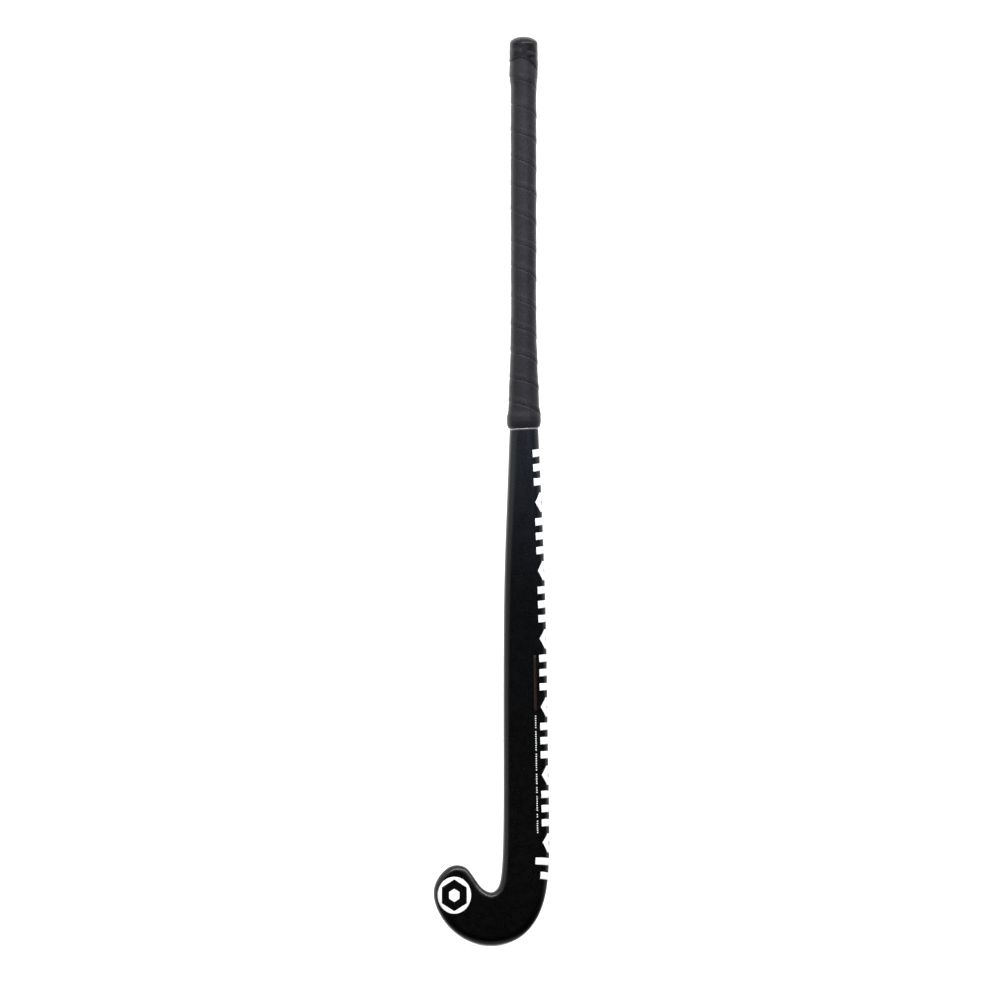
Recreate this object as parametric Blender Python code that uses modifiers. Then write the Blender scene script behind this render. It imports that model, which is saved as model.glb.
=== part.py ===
"""A field hockey stick, built as the separate pieces that it comes apart into on a bench.

The stick is laid out flat first: X runs across it with the toe at -X, Y runs through it with the
playing face at -Y, and Z runs up it, from the bottom of the hook to the butt. The handle's axis is
X = Y = 0. bowed() then bends that flat layout into the stick's bow, and the last step stands the
whole stick with the bottom centre of its bounding box on the origin.
"""

import math

import bmesh
import bpy
import numpy as np

MM = 0.001

# ---------------------------------------------------------------- driving dimensions
BUTT_Z = 929.9 * MM           # top of the stick along its own bowed length

BOW_TOP = 400 * MM            # the bow starts here, below a straight handle
BOW_BOTTOM = 90 * MM          # and ends here, above a flat head
BOW_ANGLE = 0.155             # radians between the handle and the head

SHELL_WALL = 1.6 * MM
TUBE_WALL = 1.4 * MM
CLEARANCE = 0.4 * MM          # between the shell and what is inside it
HEAD_CORE_TOP = 118 * MM
TUBE_BOTTOM = 119 * MM
TUBE_TOP = 868 * MM
FOAM_TOP = 893 * MM

# The grip's layers, each from one height to another
TRIM_BAND = (531.2 * MM, 529.4 * MM)
COLLAR = (543 * MM, 534 * MM)
UNDERLAY = (886 * MM, 545 * MM)
GRIP_TAPE = (918 * MM, 532.2 * MM)
CAP_SKIRT_BOTTOM = 889 * MM
END_TAPE_BOTTOM = 908.4 * MM

# How far those layers stand off the bare handle
LAYER_GAP = 0.3 * MM
BAND_THICK = 0.35 * MM
UNDERLAY_OUT = 0.9 * MM
COLLAR_OUT = 1.6 * MM
SKIRT_OUT = 1.7 * MM
TAPE_THICK = 0.9 * MM
END_TAPE_THICK = 0.35 * MM
COLLAR_RUN_OUT = 7 * MM       # the tape comes down off the collar over this height
SKIRT_RUN_OUT = 9 * MM        # and down off the cap's skirt over this one

BUTT_DOME = 7.8 * MM          # height of the domed end of the stick
PLUG_FLANGE = 1.4 * MM
PLUG_LEAD_IN = 2 * MM

RING_HALF = 12                # steps across the stick on each side, so a ring has twice as many
ROUND_STEPS = 28              # sides of the turned pieces at the butt
DOME_STEPS = 7
RUN_OUT_STEPS = 4
SHAFT_STEP = 48 * MM          # longest step between sections in the shaft
HEAD_STEP = 11 * MM           # and in the head
OUTLINE_SAMPLES = 700
TANGENT_STEP = 0.05 * MM      # half the run that the outline's direction is measured over
STATION_CLEAR = 2 * MM        # a station closer than this to the end of a run is passed over
HEAD_STEP_FROM = 5 * MM       # the shorter steps start this far above the head's core
SHARP_ANGLE = math.radians(40)
WELD = 0.01 * MM

# The outline in millimetres, from the butt down the shaft and round the hook to its tip. Each row
# pairs a point (x, z) on the toe-side edge with the one across from it on the heel-side edge.
STATIONS = (
    ((-10.85, 917.6), (10.85, 917.6)),
    ((-10.85, 700.0), (10.85, 700.0)),
    ((-11.15, 620.0), (11.3, 620.0)),
    ((-12.15, 585.0), (12.45, 585.0)),
    ((-14.45, 526.0), (15.3, 526.0)),
    ((-17.0, 457.0), (18.55, 457.0)),
    ((-19.2, 396.0), (21.0, 396.0)),
    ((-20.6, 304.0), (23.6, 304.0)),
    ((-20.65, 192.0), (25.3, 192.0)),
    ((-20.9, 120.0), (26.5, 119.0)),
    ((-22.2, 82.0), (25.4, 75.0)),
    ((-23.6, 69.0), (22.9, 55.0)),
    ((-26.5, 60.0), (13.8, 28.4)),
    ((-30.0, 56.5), (-4.0, 8.6)),
    ((-34.5, 55.6), (-34.0, 0.0)),
    ((-43.4, 61.0), (-71.5, 15.0)),
    ((-47.5, 66.4), (-84.4, 30.6)),
    ((-54.6, 76.5), (-91.0, 61.5)),
    ((-63.2, 82.7), (-77.6, 80.3)),
    ((-70.3, 83.2), (-70.3, 83.2)),
)
SHAFT_STATIONS = 12           # the rows before the hook turns, where the toe-side edge still falls
TOE_DOME = 23.4 * MM          # how far in from the edge the toe's back reaches its full depth

# The section down the stick, in millimetres. Each row: height, radius of the face's rounded edge,
# depth from the face to the widest line, and depth from there to the back.
SECTION_DEPTHS = (
    (917.6, 10.85, 11.9, 11.9),
    (700.0, 10.85, 11.9, 11.9),
    (620.0, 11.2, 11.8, 11.9),
    (526.0, 13.4, 11.0, 12.2),
    (396.0, 10.8, 9.2, 12.6),
    (243.0, 8.2, 8.2, 13.0),
    (120.0, 8.0, 8.0, 12.8),
)
TIP_DEPTHS = (8.0, 8.0, 11.0)  # the same three at the tip of the toe

HANDLE_HALF_X, SHELL_TOP = np.array(STATIONS[0][1]) * MM    # the bare handle and its cut-off end
HANDLE_HALF_Y = SECTION_DEPTHS[0][2] * MM
FACE_Y = -HANDLE_HALF_Y       # the plane of the playing face, before the bow


# ---------------------------------------------------------------- curves through the stations
class Spline:
    """A natural cubic spline through rows of values at the given knots."""

    def __init__(self, knots, values):
        self.t = np.asarray(knots, float)
        self.v = np.asarray(values, float)
        h = np.diff(self.t)[:, None]
        slope = np.diff(self.v, axis=0) / h
        count = len(self.t)
        left = np.eye(count)
        right = np.zeros_like(self.v)
        for i in range(1, count - 1):
            left[i, i - 1 : i + 2] = h[i - 1, 0], 2 * (h[i - 1, 0] + h[i, 0]), h[i, 0]
            right[i] = 6 * (slope[i] - slope[i - 1])
        self.bend = np.linalg.solve(left, right)

    def __call__(self, at):
        at = np.atleast_1d(at)
        i = np.clip(np.searchsorted(self.t, at) - 1, 0, len(self.t) - 2)
        h = (self.t[i + 1] - self.t[i])[:, None]
        a = (self.t[i + 1] - at)[:, None] / h
        b = 1 - a
        curved = (a**3 - a) * self.bend[i] + (b**3 - b) * self.bend[i + 1]
        return a * self.v[i] + b * self.v[i + 1] + curved * h**2 / 6


TOE_EDGE, HEEL_EDGE = np.array(STATIONS).transpose(1, 0, 2) * MM


def station_lengths():
    """How far along the stick each station is: the mean of the two edges' lengths from the butt."""
    toe = np.linalg.norm(np.diff(TOE_EDGE, axis=0), axis=1)
    heel = np.linalg.norm(np.diff(HEEL_EDGE, axis=0), axis=1)
    return np.concatenate([[0], np.cumsum((toe + heel) / 2)])


ALONG = station_lengths()
TIP = ALONG[-1]


def along_at(height):
    """How far along the stick the shaft is at this height."""
    heights = TOE_EDGE[:SHAFT_STATIONS, 1]
    return float(np.interp(-height, -heights, ALONG[:SHAFT_STATIONS]))


# The outline is one curve, down the toe side to the tip at 0 and back up the heel side.
OUTLINE = Spline(
    np.concatenate([ALONG - TIP, (TIP - ALONG[:-1])[::-1]]),
    np.concatenate([TOE_EDGE, HEEL_EDGE[:-1][::-1]]),
)
DEPTHS_AT = Spline(
    [along_at(row[0] * MM) for row in SECTION_DEPTHS] + [TIP],
    np.array([row[1:] for row in SECTION_DEPTHS] + [TIP_DEPTHS]) * MM,
)


def outline(at, inset):
    """Points on the outline, moved into the stick by inset."""
    way = OUTLINE(at + TANGENT_STEP) - OUTLINE(at - TANGENT_STEP)
    way /= np.linalg.norm(way, axis=1)[:, None]
    return OUTLINE(at) + inset * np.stack([-way[:, 1], way[:, 0]], axis=1)


def distance_to(line, points):
    """The shortest distance from each point to a line of short straight pieces."""
    start, run = line[:-1], np.diff(line, axis=0)
    away = points[:, None] - start
    share = (away * run).sum(2) / (run**2).sum(1)
    share = np.clip(share, 0, 1)[:, :, None]
    return np.linalg.norm(away - share * run, axis=2).min(1)


def rise(share):
    """A quarter circle's height, from 0 at an edge to 1 at its full depth."""
    return np.sqrt(1 - (1 - np.clip(share, 0, 1)) ** 2)


def bowed(points):
    """Flat points bent about X into the bow: the handle stays put and the head comes forward."""
    x, y, z = np.asarray(points, float).T
    radius = (BOW_TOP - BOW_BOTTOM) / BOW_ANGLE
    turn = BOW_ANGLE * np.clip((BOW_TOP - z) / (BOW_TOP - BOW_BOTTOM), 0, 1)
    beyond = np.clip(BOW_BOTTOM - z, 0, None)
    axis_y = -radius * (1 - np.cos(turn)) - beyond * math.sin(BOW_ANGLE)
    axis_z = np.maximum(z, BOW_TOP) - radius * np.sin(turn) - beyond * math.cos(BOW_ANGLE)
    return np.stack([x, axis_y + y * np.cos(turn), axis_z - y * np.sin(turn)], axis=1)


def section(at, inset, first_share=0.0, last_share=1.0):
    """The closed ring of the stick's section at this length, inset by a wall. The shares pick the
    part of the width that the ring takes in, from the toe-side edge at 0 to the heel side at 1.
    """
    toe, heel = outline(np.array([at - TIP, TIP - at]), inset)
    corner, front, back = DEPTHS_AT(at)[0]
    half = np.linalg.norm(heel - toe) / 2
    dome = half if at <= along_at(HEAD_CORE_TOP) else max(half, TOE_DOME - inset)
    angles = np.linspace(0, math.pi, RING_HALF + 1)
    shares = first_share + (last_share - first_share) * (1 - np.cos(angles)) / 2
    flat = toe + shares[:, None] * (heel - toe)
    edge = distance_to(outline(np.linspace(-TIP, TIP, OUTLINE_SAMPLES), inset), flat)
    edge[np.isclose(shares, 0) | np.isclose(shares, 1)] = 0
    widest = FACE_Y + front
    face_y = widest - (front - inset) * rise(edge / (corner - inset))
    back_y = widest + (back - inset) * rise(edge / dome)
    face = np.stack([flat[:, 0], face_y, flat[:, 1]], axis=1)
    rear = np.stack([flat[:, 0], back_y, flat[:, 1]], axis=1)[::-1]
    # At the stick's own edges, the face and the back meet in one point.
    if first_share == 0:
        rear = rear[:-1]
    if last_share == 1:
        rear = rear[1:]
    return bowed(np.concatenate([face, rear]))


def tip_point(inset):
    """The point that closes the toe, inset by a wall."""
    x, z = outline(np.array([0.0]), inset)[0]
    return bowed([[x, FACE_Y + TIP_DEPTHS[1] * MM, z]])[0]


def lengths_between(start, end):
    """Lengths for sections from start to end, with every station between them and even steps."""
    inside = ALONG[(ALONG > start + STATION_CLEAR) & (ALONG < end - STATION_CLEAR)]
    knots = [start, *inside, end]
    found = [start]
    for low, high in zip(knots[:-1], knots[1:]):
        longest = HEAD_STEP if low >= along_at(HEAD_CORE_TOP + HEAD_STEP_FROM) else SHAFT_STEP
        steps = math.ceil((high - low) / longest)
        found.extend(np.linspace(low, high, steps + 1)[1:])
    return found


# ---------------------------------------------------------------- objects
COLLECTION = bpy.data.collections.new("field_hockey_stick")


def clear_scene():
    for obj in list(bpy.data.objects):
        bpy.data.objects.remove(obj)
    bpy.context.scene.collection.children.link(COLLECTION)


def material(name, color, roughness, metallic=0.0, coat=0.0):
    made = bpy.data.materials.new(name)
    made.use_nodes = True
    shader = made.node_tree.nodes["Principled BSDF"]
    shader.inputs["Base Color"].default_value = (*color, 1)
    shader.inputs["Roughness"].default_value = roughness
    shader.inputs["Metallic"].default_value = metallic
    shader.inputs["Coat Weight"].default_value = coat
    made.diffuse_color = (*color, 1)
    return made


def add_object(name, mesh, finish):
    mesh.materials.append(finish)
    mesh.shade_smooth()
    mesh.set_sharp_from_angle(angle=SHARP_ANGLE)
    obj = bpy.data.objects.new(name, mesh)
    COLLECTION.objects.link(obj)
    return obj


def loft(rings, cap_start=True, cap_end=True, tip=None):
    """A mesh through rings of equally many points. A tip closes the last ring to one point."""
    shape = bmesh.new()
    loops = [[shape.verts.new(point) for point in ring] for ring in rings]
    for low, high in zip(loops[:-1], loops[1:]):
        for i, corner in enumerate(low):
            shape.faces.new((corner, low[i - 1], high[i - 1], high[i]))
    if cap_start:
        shape.faces.new(loops[0])
    if tip is not None:
        point = shape.verts.new(tip)
        for i, corner in enumerate(loops[-1]):
            shape.faces.new((corner, loops[-1][i - 1], point))
    elif cap_end:
        shape.faces.new(loops[-1])
    bmesh.ops.recalc_face_normals(shape, faces=shape.faces)
    mesh = bpy.data.meshes.new("loft")
    shape.to_mesh(mesh)
    shape.free()
    return mesh


def tube(outer, inner):
    """A mesh between two stacks of rings, closed at both ends by a rim."""
    shape = bmesh.new()
    walls = [[[shape.verts.new(p) for p in ring] for ring in stack] for stack in (outer, inner)]
    for loops in walls:
        for low, high in zip(loops[:-1], loops[1:]):
            for i, corner in enumerate(low):
                shape.faces.new((corner, low[i - 1], high[i - 1], high[i]))
    for end in (0, -1):
        out, into = walls[0][end], walls[1][end]
        for i, corner in enumerate(out):
            shape.faces.new((corner, out[i - 1], into[i - 1], into[i]))
    bmesh.ops.recalc_face_normals(shape, faces=shape.faces)
    mesh = bpy.data.meshes.new("tube")
    shape.to_mesh(mesh)
    shape.free()
    return mesh


def turned(name, profile, stand_off, finish):
    """A turned piece from (radius, height) points, squeezed to the handle's oval at the distance
    that it stands off. The profile runs from the axis down the outside, and back up the inside.
    """
    mesh = bpy.data.meshes.new(name)
    points = [(radius, 0, height) for radius, height in profile]
    mesh.from_pydata(points, [(i, i + 1) for i in range(len(points) - 1)], [])
    obj = add_object(name, mesh, finish)
    spin = obj.modifiers.new("Spin", "SCREW")
    spin.steps = spin.render_steps = ROUND_STEPS
    spin.use_merge_vertices = True
    spin.merge_threshold = WELD
    obj.scale.x = (HANDLE_HALF_X + stand_off) / (HANDLE_HALF_Y + stand_off)


# ---------------------------------------------------------------- the hollow stick and its filling
def composite_shell():
    """The moulded laminate skin: one hollow piece, open only at the butt."""
    rings = [section(at, 0.0) for at in lengths_between(0.0, TIP)[:-1]]
    lacquer = material("black_lacquer", (0.004, 0.004, 0.005), 0.32, coat=0.5)
    obj = add_object("composite_shell", loft(rings, cap_start=False, tip=tip_point(0.0)), lacquer)
    wall = obj.modifiers.new("Wall", "SOLIDIFY")
    wall.thickness = SHELL_WALL
    wall.offset = -1


def head_core():
    """The filler that makes the head solid, from just above the heel round to the toe."""
    inset = SHELL_WALL + CLEARANCE
    rings = [section(at, inset) for at in lengths_between(along_at(HEAD_CORE_TOP), TIP)[:-1]]
    filler = material("head_filler", (0.42, 0.36, 0.22), 0.85)
    add_object("head_core", loft(rings, tip=tip_point(inset)), filler)


def inner_tube(name, toe_side):
    """One of the two inner laminate tubes. Side by side, their flat walls are the stick's spine."""
    lengths = lengths_between(along_at(TUBE_TOP), along_at(TUBE_BOTTOM))
    walls = []
    for inset in (SHELL_WALL + CLEARANCE, SHELL_WALL + CLEARANCE + TUBE_WALL):
        rings = []
        for at in lengths:
            toe, heel = outline(np.array([at - TIP, TIP - at]), inset)
            from_spine = CLEARANCE / 2 + inset - SHELL_WALL - CLEARANCE
            share = from_spine / np.linalg.norm(heel - toe)
            shares = (0.0, 0.5 - share) if toe_side else (0.5 + share, 1.0)
            rings.append(section(at, inset, *shares))
        walls.append(rings)
    laminate = material("inner_laminate", (0.03, 0.03, 0.035), 0.45)
    add_object(name, tube(*walls), laminate)


def handle_foam():
    """The foam stopper between the tubes' ends and the end plug."""
    inset = SHELL_WALL + CLEARANCE
    ends = [section(along_at(height), inset) for height in (FOAM_TOP, TUBE_TOP + CLEARANCE)]
    foam = material("handle_foam", (0.62, 0.55, 0.38), 0.95)
    add_object("handle_foam", loft(ends), foam)


# ---------------------------------------------------------------- the butt end
def dome(radius, top, drop):
    """A quarter ellipse from the top of the axis down to a side of this radius."""
    turns = [math.pi / 2 * step / DOME_STEPS for step in range(DOME_STEPS + 1)]
    return [(radius * math.sin(turn), top - drop * (1 - math.cos(turn))) for turn in turns]


def end_plug():
    """The plastic bung: a stem pressed into the shell, under a flange that covers its cut end."""
    stem = HANDLE_HALF_Y - SHELL_WALL - CLEARANCE
    bottom = FOAM_TOP + CLEARANCE
    seat = SHELL_TOP + LAYER_GAP
    profile = [
        (0, seat + PLUG_FLANGE),
        (HANDLE_HALF_Y - PLUG_FLANGE / 2, seat + PLUG_FLANGE),
        (HANDLE_HALF_Y, seat + PLUG_FLANGE / 2),
        (HANDLE_HALF_Y, seat),
        (stem, seat),
        (stem, bottom + PLUG_LEAD_IN),
        (stem - PLUG_LEAD_IN / 2, bottom),
        (0, bottom),
    ]
    turned("end_plug", profile, 0.0, material("plug_nylon", (0.02, 0.02, 0.02), 0.5))


def butt_cap():
    """The rubber cap over the end of the handle. Its skirt makes the flare at the butt."""
    skirt = HANDLE_HALF_Y + SKIRT_OUT
    inside = HANDLE_HALF_Y + LAYER_GAP
    ceiling = SHELL_TOP + PLUG_FLANGE + 2 * LAYER_GAP
    top = BUTT_Z - END_TAPE_THICK - LAYER_GAP
    profile = [
        *dome(skirt, top, BUTT_DOME - END_TAPE_THICK),
        (skirt, CAP_SKIRT_BOTTOM),
        (inside, CAP_SKIRT_BOTTOM),
        (inside, ceiling),
        (0, ceiling),
    ]
    turned("butt_cap", profile, LAYER_GAP, material("cap_rubber", (0.018, 0.018, 0.02), 0.6))


def end_tape():
    """The glossy finishing tape that closes the grip and is pressed over the butt."""
    stand_off = SKIRT_OUT + LAYER_GAP + TAPE_THICK + LAYER_GAP
    inside = HANDLE_HALF_Y + stand_off
    outside = inside + END_TAPE_THICK
    profile = [
        *dome(outside, BUTT_Z, BUTT_DOME),
        (outside, END_TAPE_BOTTOM),
        (inside, END_TAPE_BOTTOM),
        *dome(inside, BUTT_Z - END_TAPE_THICK, BUTT_DOME - END_TAPE_THICK)[::-1],
    ]
    gloss = material("gloss_tape", (0.02, 0.02, 0.024), 0.2, coat=0.6)
    turned("end_tape", profile, stand_off, gloss)


# ---------------------------------------------------------------- the grip
def ease(value):
    value = min(1.0, max(0.0, value))
    return value * value * (3 - 2 * value)


def tape_bed(height):
    """How far off the bare handle the tape lies: on the collar, the underlay or the cap's skirt."""
    collar = 1 - ease((height - COLLAR[0]) / COLLAR_RUN_OUT)
    skirt = ease((height - CAP_SKIRT_BOTTOM + SKIRT_RUN_OUT) / SKIRT_RUN_OUT)
    steps = collar * (COLLAR_OUT - UNDERLAY_OUT) + skirt * (SKIRT_OUT - UNDERLAY_OUT)
    return UNDERLAY_OUT + steps + LAYER_GAP


def sleeve(name, lengths, bed, thick, finish):
    """A sleeve round the handle. Bed gives the offset of its inside at a height."""
    heights = [float(np.interp(at, ALONG, TOE_EDGE[:, 1])) for at in lengths]
    inner = [section(at, -bed(height)) for at, height in zip(lengths, heights)]
    outer = [section(at, -bed(height) - thick) for at, height in zip(lengths, heights)]
    add_object(name, tube(outer, inner), finish)


def grip():
    foam = material("cushion_foam", (0.09, 0.09, 0.1), 0.95)
    rubber = material("collar_rubber", (0.015, 0.015, 0.016), 0.7)
    foil = material("silver_foil", (0.45, 0.46, 0.48), 0.3, metallic=0.9)
    tape = material("grip_polyurethane", (0.042, 0.04, 0.047), 0.7)
    plain_layers = (
        ("grip_underlay", UNDERLAY, UNDERLAY_OUT - LAYER_GAP, foam),
        ("grip_collar", COLLAR, COLLAR_OUT - LAYER_GAP, rubber),
        ("trim_band", TRIM_BAND, BAND_THICK, foil),
    )
    for name, (top, bottom), thick, finish in plain_layers:
        lengths = lengths_between(along_at(top), along_at(bottom))
        sleeve(name, lengths, lambda height: LAYER_GAP, thick, finish)
    top, bottom = GRIP_TAPE
    lengths = set(lengths_between(along_at(top), along_at(bottom)))
    run_outs = ((CAP_SKIRT_BOTTOM - SKIRT_RUN_OUT, SKIRT_RUN_OUT), (COLLAR[0], COLLAR_RUN_OUT))
    for run_bottom, run_out in run_outs:
        for step in range(RUN_OUT_STEPS + 1):
            lengths.add(along_at(run_bottom + run_out * step / RUN_OUT_STEPS))
    sleeve("grip_tape", sorted(lengths), tape_bed, TAPE_THICK, tape)


# ---------------------------------------------------------------- assembly
def stand_on_origin():
    """Parents every piece to an empty that puts the bounding box's bottom centre at the origin."""
    bpy.context.view_layer.update()
    graph = bpy.context.evaluated_depsgraph_get()
    corners = []
    for obj in COLLECTION.objects:
        evaluated = obj.evaluated_get(graph)
        mesh = evaluated.to_mesh()
        corners += [evaluated.matrix_world @ vertex.co for vertex in mesh.vertices]
        evaluated.to_mesh_clear()
    corners = np.array(corners)
    low, high = corners.min(0), corners.max(0)
    stand = bpy.data.objects.new("stick_frame", None)
    stand.location = (-(low[0] + high[0]) / 2, -(low[1] + high[1]) / 2, -low[2])
    for obj in list(COLLECTION.objects):
        obj.parent = stand
    COLLECTION.objects.link(stand)


def main():
    clear_scene()
    composite_shell()
    head_core()
    inner_tube("toe_side_tube", toe_side=True)
    inner_tube("heel_side_tube", toe_side=False)
    handle_foam()
    end_plug()
    butt_cap()
    grip()
    end_tape()
    stand_on_origin()


main()
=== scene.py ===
"""The looks of a field hockey stick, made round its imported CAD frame.

The stick is laid out flat, as its design is: X across it with the toe at -X, Y through it with the
playing face at -Y, Z up it. placed() bends that flat layout into the bow and stands it on the frame.
"""

import math

import bmesh
import bpy
import numpy as np
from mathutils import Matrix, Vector, noise

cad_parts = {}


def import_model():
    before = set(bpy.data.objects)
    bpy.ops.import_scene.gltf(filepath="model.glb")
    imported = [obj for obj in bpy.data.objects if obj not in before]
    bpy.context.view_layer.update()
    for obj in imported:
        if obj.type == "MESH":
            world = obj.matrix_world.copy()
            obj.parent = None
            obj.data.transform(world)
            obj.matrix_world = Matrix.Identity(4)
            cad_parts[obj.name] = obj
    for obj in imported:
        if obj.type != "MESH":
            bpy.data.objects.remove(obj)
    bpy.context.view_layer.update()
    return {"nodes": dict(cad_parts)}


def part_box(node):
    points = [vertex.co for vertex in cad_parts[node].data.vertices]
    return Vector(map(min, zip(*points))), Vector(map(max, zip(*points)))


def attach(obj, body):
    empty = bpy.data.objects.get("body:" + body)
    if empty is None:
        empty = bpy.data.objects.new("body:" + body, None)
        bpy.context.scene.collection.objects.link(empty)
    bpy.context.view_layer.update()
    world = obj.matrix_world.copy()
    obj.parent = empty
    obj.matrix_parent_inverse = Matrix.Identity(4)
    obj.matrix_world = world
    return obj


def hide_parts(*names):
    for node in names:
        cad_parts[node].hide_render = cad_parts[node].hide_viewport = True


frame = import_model()
MM = 0.001

# ---------------------------------------------------------------- the design's own dimensions
BUTT_Z = 929.9 * MM
SHELL_WALL = 1.6 * MM
BOW_TOP = 400 * MM
BOW_BOTTOM = 90 * MM
BOW_ANGLE = 0.155             # radians between the handle and the head
HEAD_TOP = 118 * MM
GRIP_FOOT = 530.7 * MM
FOOT_TILT = 0.6 * MM          # the grip's foot and the ring below it are lower at the toe side
GRIP_HEAD = 918 * MM
COLLAR_TOP = 543 * MM

# The outline in millimetres: the toe-side edge (x, z) and the heel-side edge across from it.
STATIONS = (
    ((-10.85, 917.6), (10.85, 917.6)),
    ((-10.85, 700.0), (10.85, 700.0)),
    ((-11.15, 620.0), (11.3, 620.0)),
    ((-12.15, 585.0), (12.45, 585.0)),
    ((-14.45, 526.0), (15.3, 526.0)),
    ((-17.0, 457.0), (18.55, 457.0)),
    ((-19.2, 396.0), (21.0, 396.0)),
    ((-20.6, 304.0), (23.6, 304.0)),
    ((-20.65, 192.0), (25.3, 192.0)),
    ((-20.9, 120.0), (26.5, 119.0)),
    ((-22.2, 82.0), (25.4, 75.0)),
    ((-23.6, 69.0), (22.9, 55.0)),
    ((-26.5, 60.0), (13.8, 28.4)),
    ((-30.0, 56.5), (-4.0, 8.6)),
    ((-34.5, 55.6), (-34.0, 0.0)),
    ((-43.4, 61.0), (-71.5, 15.0)),
    ((-47.5, 66.4), (-84.4, 30.6)),
    ((-54.6, 76.5), (-91.0, 61.5)),
    ((-63.2, 82.7), (-77.6, 80.3)),
    ((-70.3, 83.2), (-70.3, 83.2)),
)
SHAFT_STATIONS = 12           # the rows before the hook turns
TOE_DOME = 23.4 * MM          # how far in from the edge the toe's back reaches its full depth
# Height, radius of the face's rounded edge, face to widest line, widest line to back
SECTION_DEPTHS = (
    (917.6, 10.85, 11.9, 11.9),
    (700.0, 10.85, 11.9, 11.9),
    (620.0, 11.2, 11.8, 11.9),
    (526.0, 13.4, 11.0, 12.2),
    (396.0, 10.8, 9.2, 12.6),
    (243.0, 8.2, 8.2, 13.0),
    (120.0, 8.0, 8.0, 12.8),
)
TIP_DEPTHS = (8.0, 8.0, 11.0)  # the same three at the tip of the toe

HANDLE_HALF_X, SHELL_TOP = np.array(STATIONS[0][1]) * MM
HANDLE_HALF_Y = SECTION_DEPTHS[0][2] * MM
PLAYING_FACE_Y = -HANDLE_HALF_Y

# How finely the design's curves are drawn
OUTLINE_SAMPLES = 2601
HEEL_SAMPLES = 900
SECTION_STEPS = 44            # across the face, and as many across the back
SHAFT_RINGS = 190
HOOK_RINGS = 130
TIP_RINGS = 20
TIP_RUN = 12 * MM             # the hook's last stretch, where the sections crowd together

# Where the design's own zero is in the frame
PLUG_LOW, PLUG_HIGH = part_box("end_plug")
STAND = np.array([
    (PLUG_LOW.x + PLUG_HIGH.x) / 2,
    (PLUG_LOW.y + PLUG_HIGH.y) / 2,
    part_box("end_tape")[1].z - BUTT_Z,
])


# ---------------------------------------------------------------- the design's curves
class Spline:
    """A natural cubic spline through rows of values at the given knots."""

    def __init__(self, knots, values):
        self.t = np.asarray(knots, float)
        self.v = np.asarray(values, float)
        h = np.diff(self.t)[:, None]
        slope = np.diff(self.v, axis=0) / h
        count = len(self.t)
        left = np.eye(count)
        right = np.zeros_like(self.v)
        for i in range(1, count - 1):
            left[i, i - 1 : i + 2] = h[i - 1, 0], 2 * (h[i - 1, 0] + h[i, 0]), h[i, 0]
            right[i] = 6 * (slope[i] - slope[i - 1])
        self.bend = np.linalg.solve(left, right)

    def __call__(self, at):
        at = np.atleast_1d(at)
        i = np.clip(np.searchsorted(self.t, at) - 1, 0, len(self.t) - 2)
        h = (self.t[i + 1] - self.t[i])[:, None]
        a = (self.t[i + 1] - at)[:, None] / h
        b = 1 - a
        curved = (a**3 - a) * self.bend[i] + (b**3 - b) * self.bend[i + 1]
        return a * self.v[i] + b * self.v[i + 1] + curved * h**2 / 6


TOE_EDGE, HEEL_EDGE = np.array(STATIONS).transpose(1, 0, 2) * MM
EDGE_STEPS = [np.linalg.norm(np.diff(edge, axis=0), axis=1) for edge in (TOE_EDGE, HEEL_EDGE)]
ALONG = np.concatenate([[0], np.cumsum(sum(EDGE_STEPS) / 2)])
TIP = ALONG[-1]


def along_at(height):
    """How far along the stick the shaft is at this height."""
    heights = TOE_EDGE[:SHAFT_STATIONS, 1]
    return np.interp(-np.asarray(height), -heights, ALONG[:SHAFT_STATIONS])


OUTLINE = Spline(
    np.concatenate([ALONG - TIP, (TIP - ALONG[:-1])[::-1]]),
    np.concatenate([TOE_EDGE, HEEL_EDGE[:-1][::-1]]),
)
DEPTHS_AT = Spline(
    [float(along_at(row[0] * MM)) for row in SECTION_DEPTHS] + [TIP],
    np.array([row[1:] for row in SECTION_DEPTHS] + [TIP_DEPTHS]) * MM,
)
# Its points, closest together at the tip
OUTLINE_LINE = OUTLINE(TIP * np.linspace(-1, 1, OUTLINE_SAMPLES) ** 3)


def distance_to_outline(points):
    """The shortest distance from each flat point (x, z) to the stick's outline."""
    start, run = OUTLINE_LINE[:-1], np.diff(OUTLINE_LINE, axis=0)
    away = points[:, None] - start
    share = np.clip((away * run).sum(2) / (run**2).sum(1), 0, 1)[:, :, None]
    return np.linalg.norm(away - share * run, axis=2).min(1)


def rise(share):
    """A quarter circle's height, from 0 at an edge to 1 at its full depth."""
    return np.sqrt(1 - (1 - np.clip(share, 0, 1)) ** 2)


def ease(value):
    """A smooth step from 0 to 1 while the value goes from 0 to 1."""
    value = np.clip(value, 0, 1)
    return value * value * (3 - 2 * value)


def climb(height, foot, run):
    """A smooth step from 0 to 1 over this run above a foot."""
    return ease((height - foot) / run)


def placed(points):
    """Flat points bent into the bow and stood on the frame."""
    flat = np.asarray(points, float)
    x, y, z = flat.reshape(-1, 3).T
    radius = (BOW_TOP - BOW_BOTTOM) / BOW_ANGLE
    turn = BOW_ANGLE * np.clip((BOW_TOP - z) / (BOW_TOP - BOW_BOTTOM), 0, 1)
    beyond = np.clip(BOW_BOTTOM - z, 0, None)
    axis_y = -radius * (1 - np.cos(turn)) - beyond * math.sin(BOW_ANGLE)
    axis_z = np.maximum(z, BOW_TOP) - radius * np.sin(turn) - beyond * math.cos(BOW_ANGLE)
    bent = np.stack([x, axis_y + y * np.cos(turn), axis_z - y * np.sin(turn)], axis=1)
    return (bent + STAND).reshape(flat.shape)


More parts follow.
